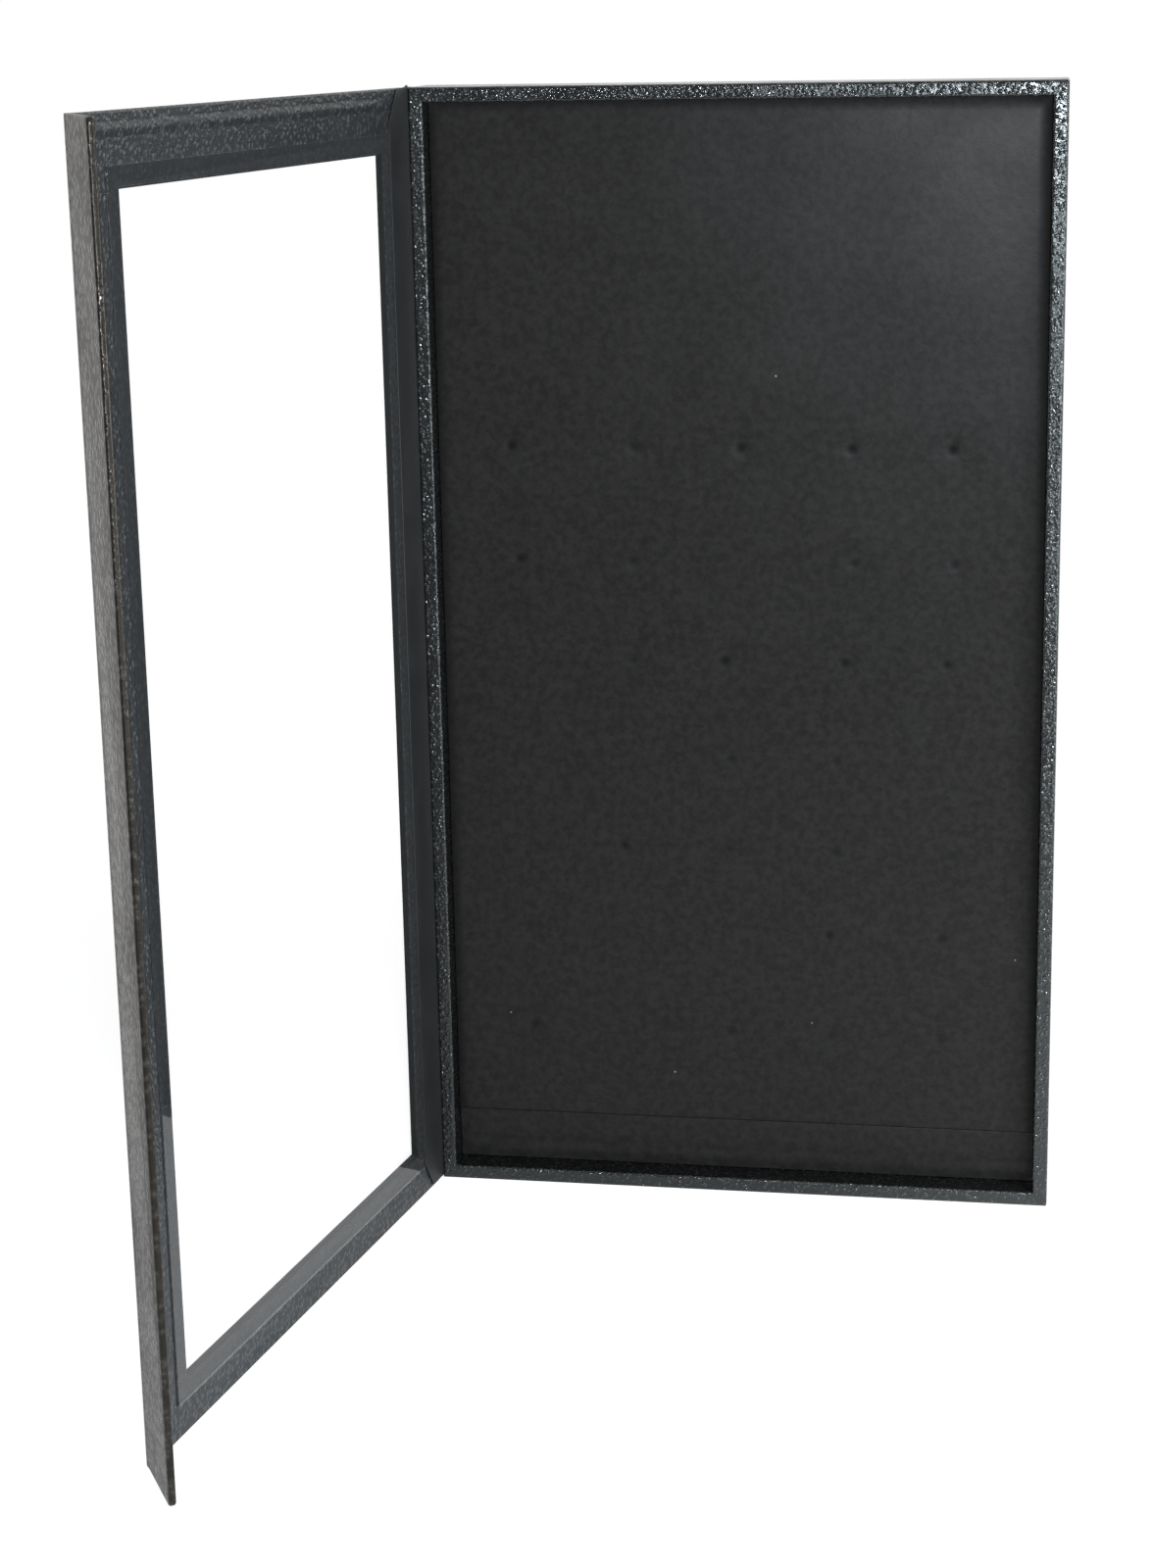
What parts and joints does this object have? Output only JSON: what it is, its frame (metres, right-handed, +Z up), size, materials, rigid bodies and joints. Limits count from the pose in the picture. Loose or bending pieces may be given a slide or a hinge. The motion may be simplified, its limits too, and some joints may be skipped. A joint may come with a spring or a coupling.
{
  "type": "pin display case",
  "caption": "Book-style display case for pins: a shallow leatherette tray with a black foam pad, a hinged window door and a magnetic closing flap.",
  "frame": {"origin": "middle of the tray's bottom face, which the case stands on", "axes": "+Z up, +X from the hinge side to the free side of the tray, +Y from the tray's front to its back"},
  "size_m": [0.2361, 0.2442, 0.3556],
  "materials": {
    "leatherette": "satin",
    "lining": "satin",
    "hinge_cloth": "matte",
    "foam": "matte",
    "board": "matte",
    "card": "matte",
    "clear_sheet": "polished",
    "tape": "matte",
    "steel": "satin",
    "magnet": "satin"
  },
  "bodies": {
    "tray": {"back_board": "board", "rail_top": "board", "rail_bottom": "board", "rail_hinge_side": "board", "rail_free_side": "board", "wrap_top": "leatherette", "wrap_bottom": "leatherette", "wrap_hinge_side": "leatherette", "wrap_free_side": "leatherette", "back_cover": "lining", "pad_card": "card", "foam_pad": "foam", "pad_strip": "foam", "keeper_plates": "steel", "spine_cover": "leatherette", "hinge_strip_tray": "hinge_cloth"},
    "door": {"door_board": "board", "door_wrap": "leatherette", "door_liner": "leatherette", "hinge_strip_door": "hinge_cloth", "pane_tape": "tape", "window_pane": "clear_sheet"},
    "flap": {"flap_board": "board", "flap_wrap": "leatherette", "flap_liner": "leatherette", "flap_magnets": "magnet"}
  },
  "joints": [
    {"name": "door_hinge", "type": "hinge", "parent": "tray", "child": "door", "pos_m": [-0.0995, -0.0132, 0], "axis": [0, 0, -1], "range_deg": [-100, 80]},
    {"name": "flap_hinge", "type": "hinge", "parent": "door", "child": "flap", "pos_m": [-0.13561, -0.21053, 0], "axis": [0, 0, 1], "range_deg": [-42, 48]}
  ]
}
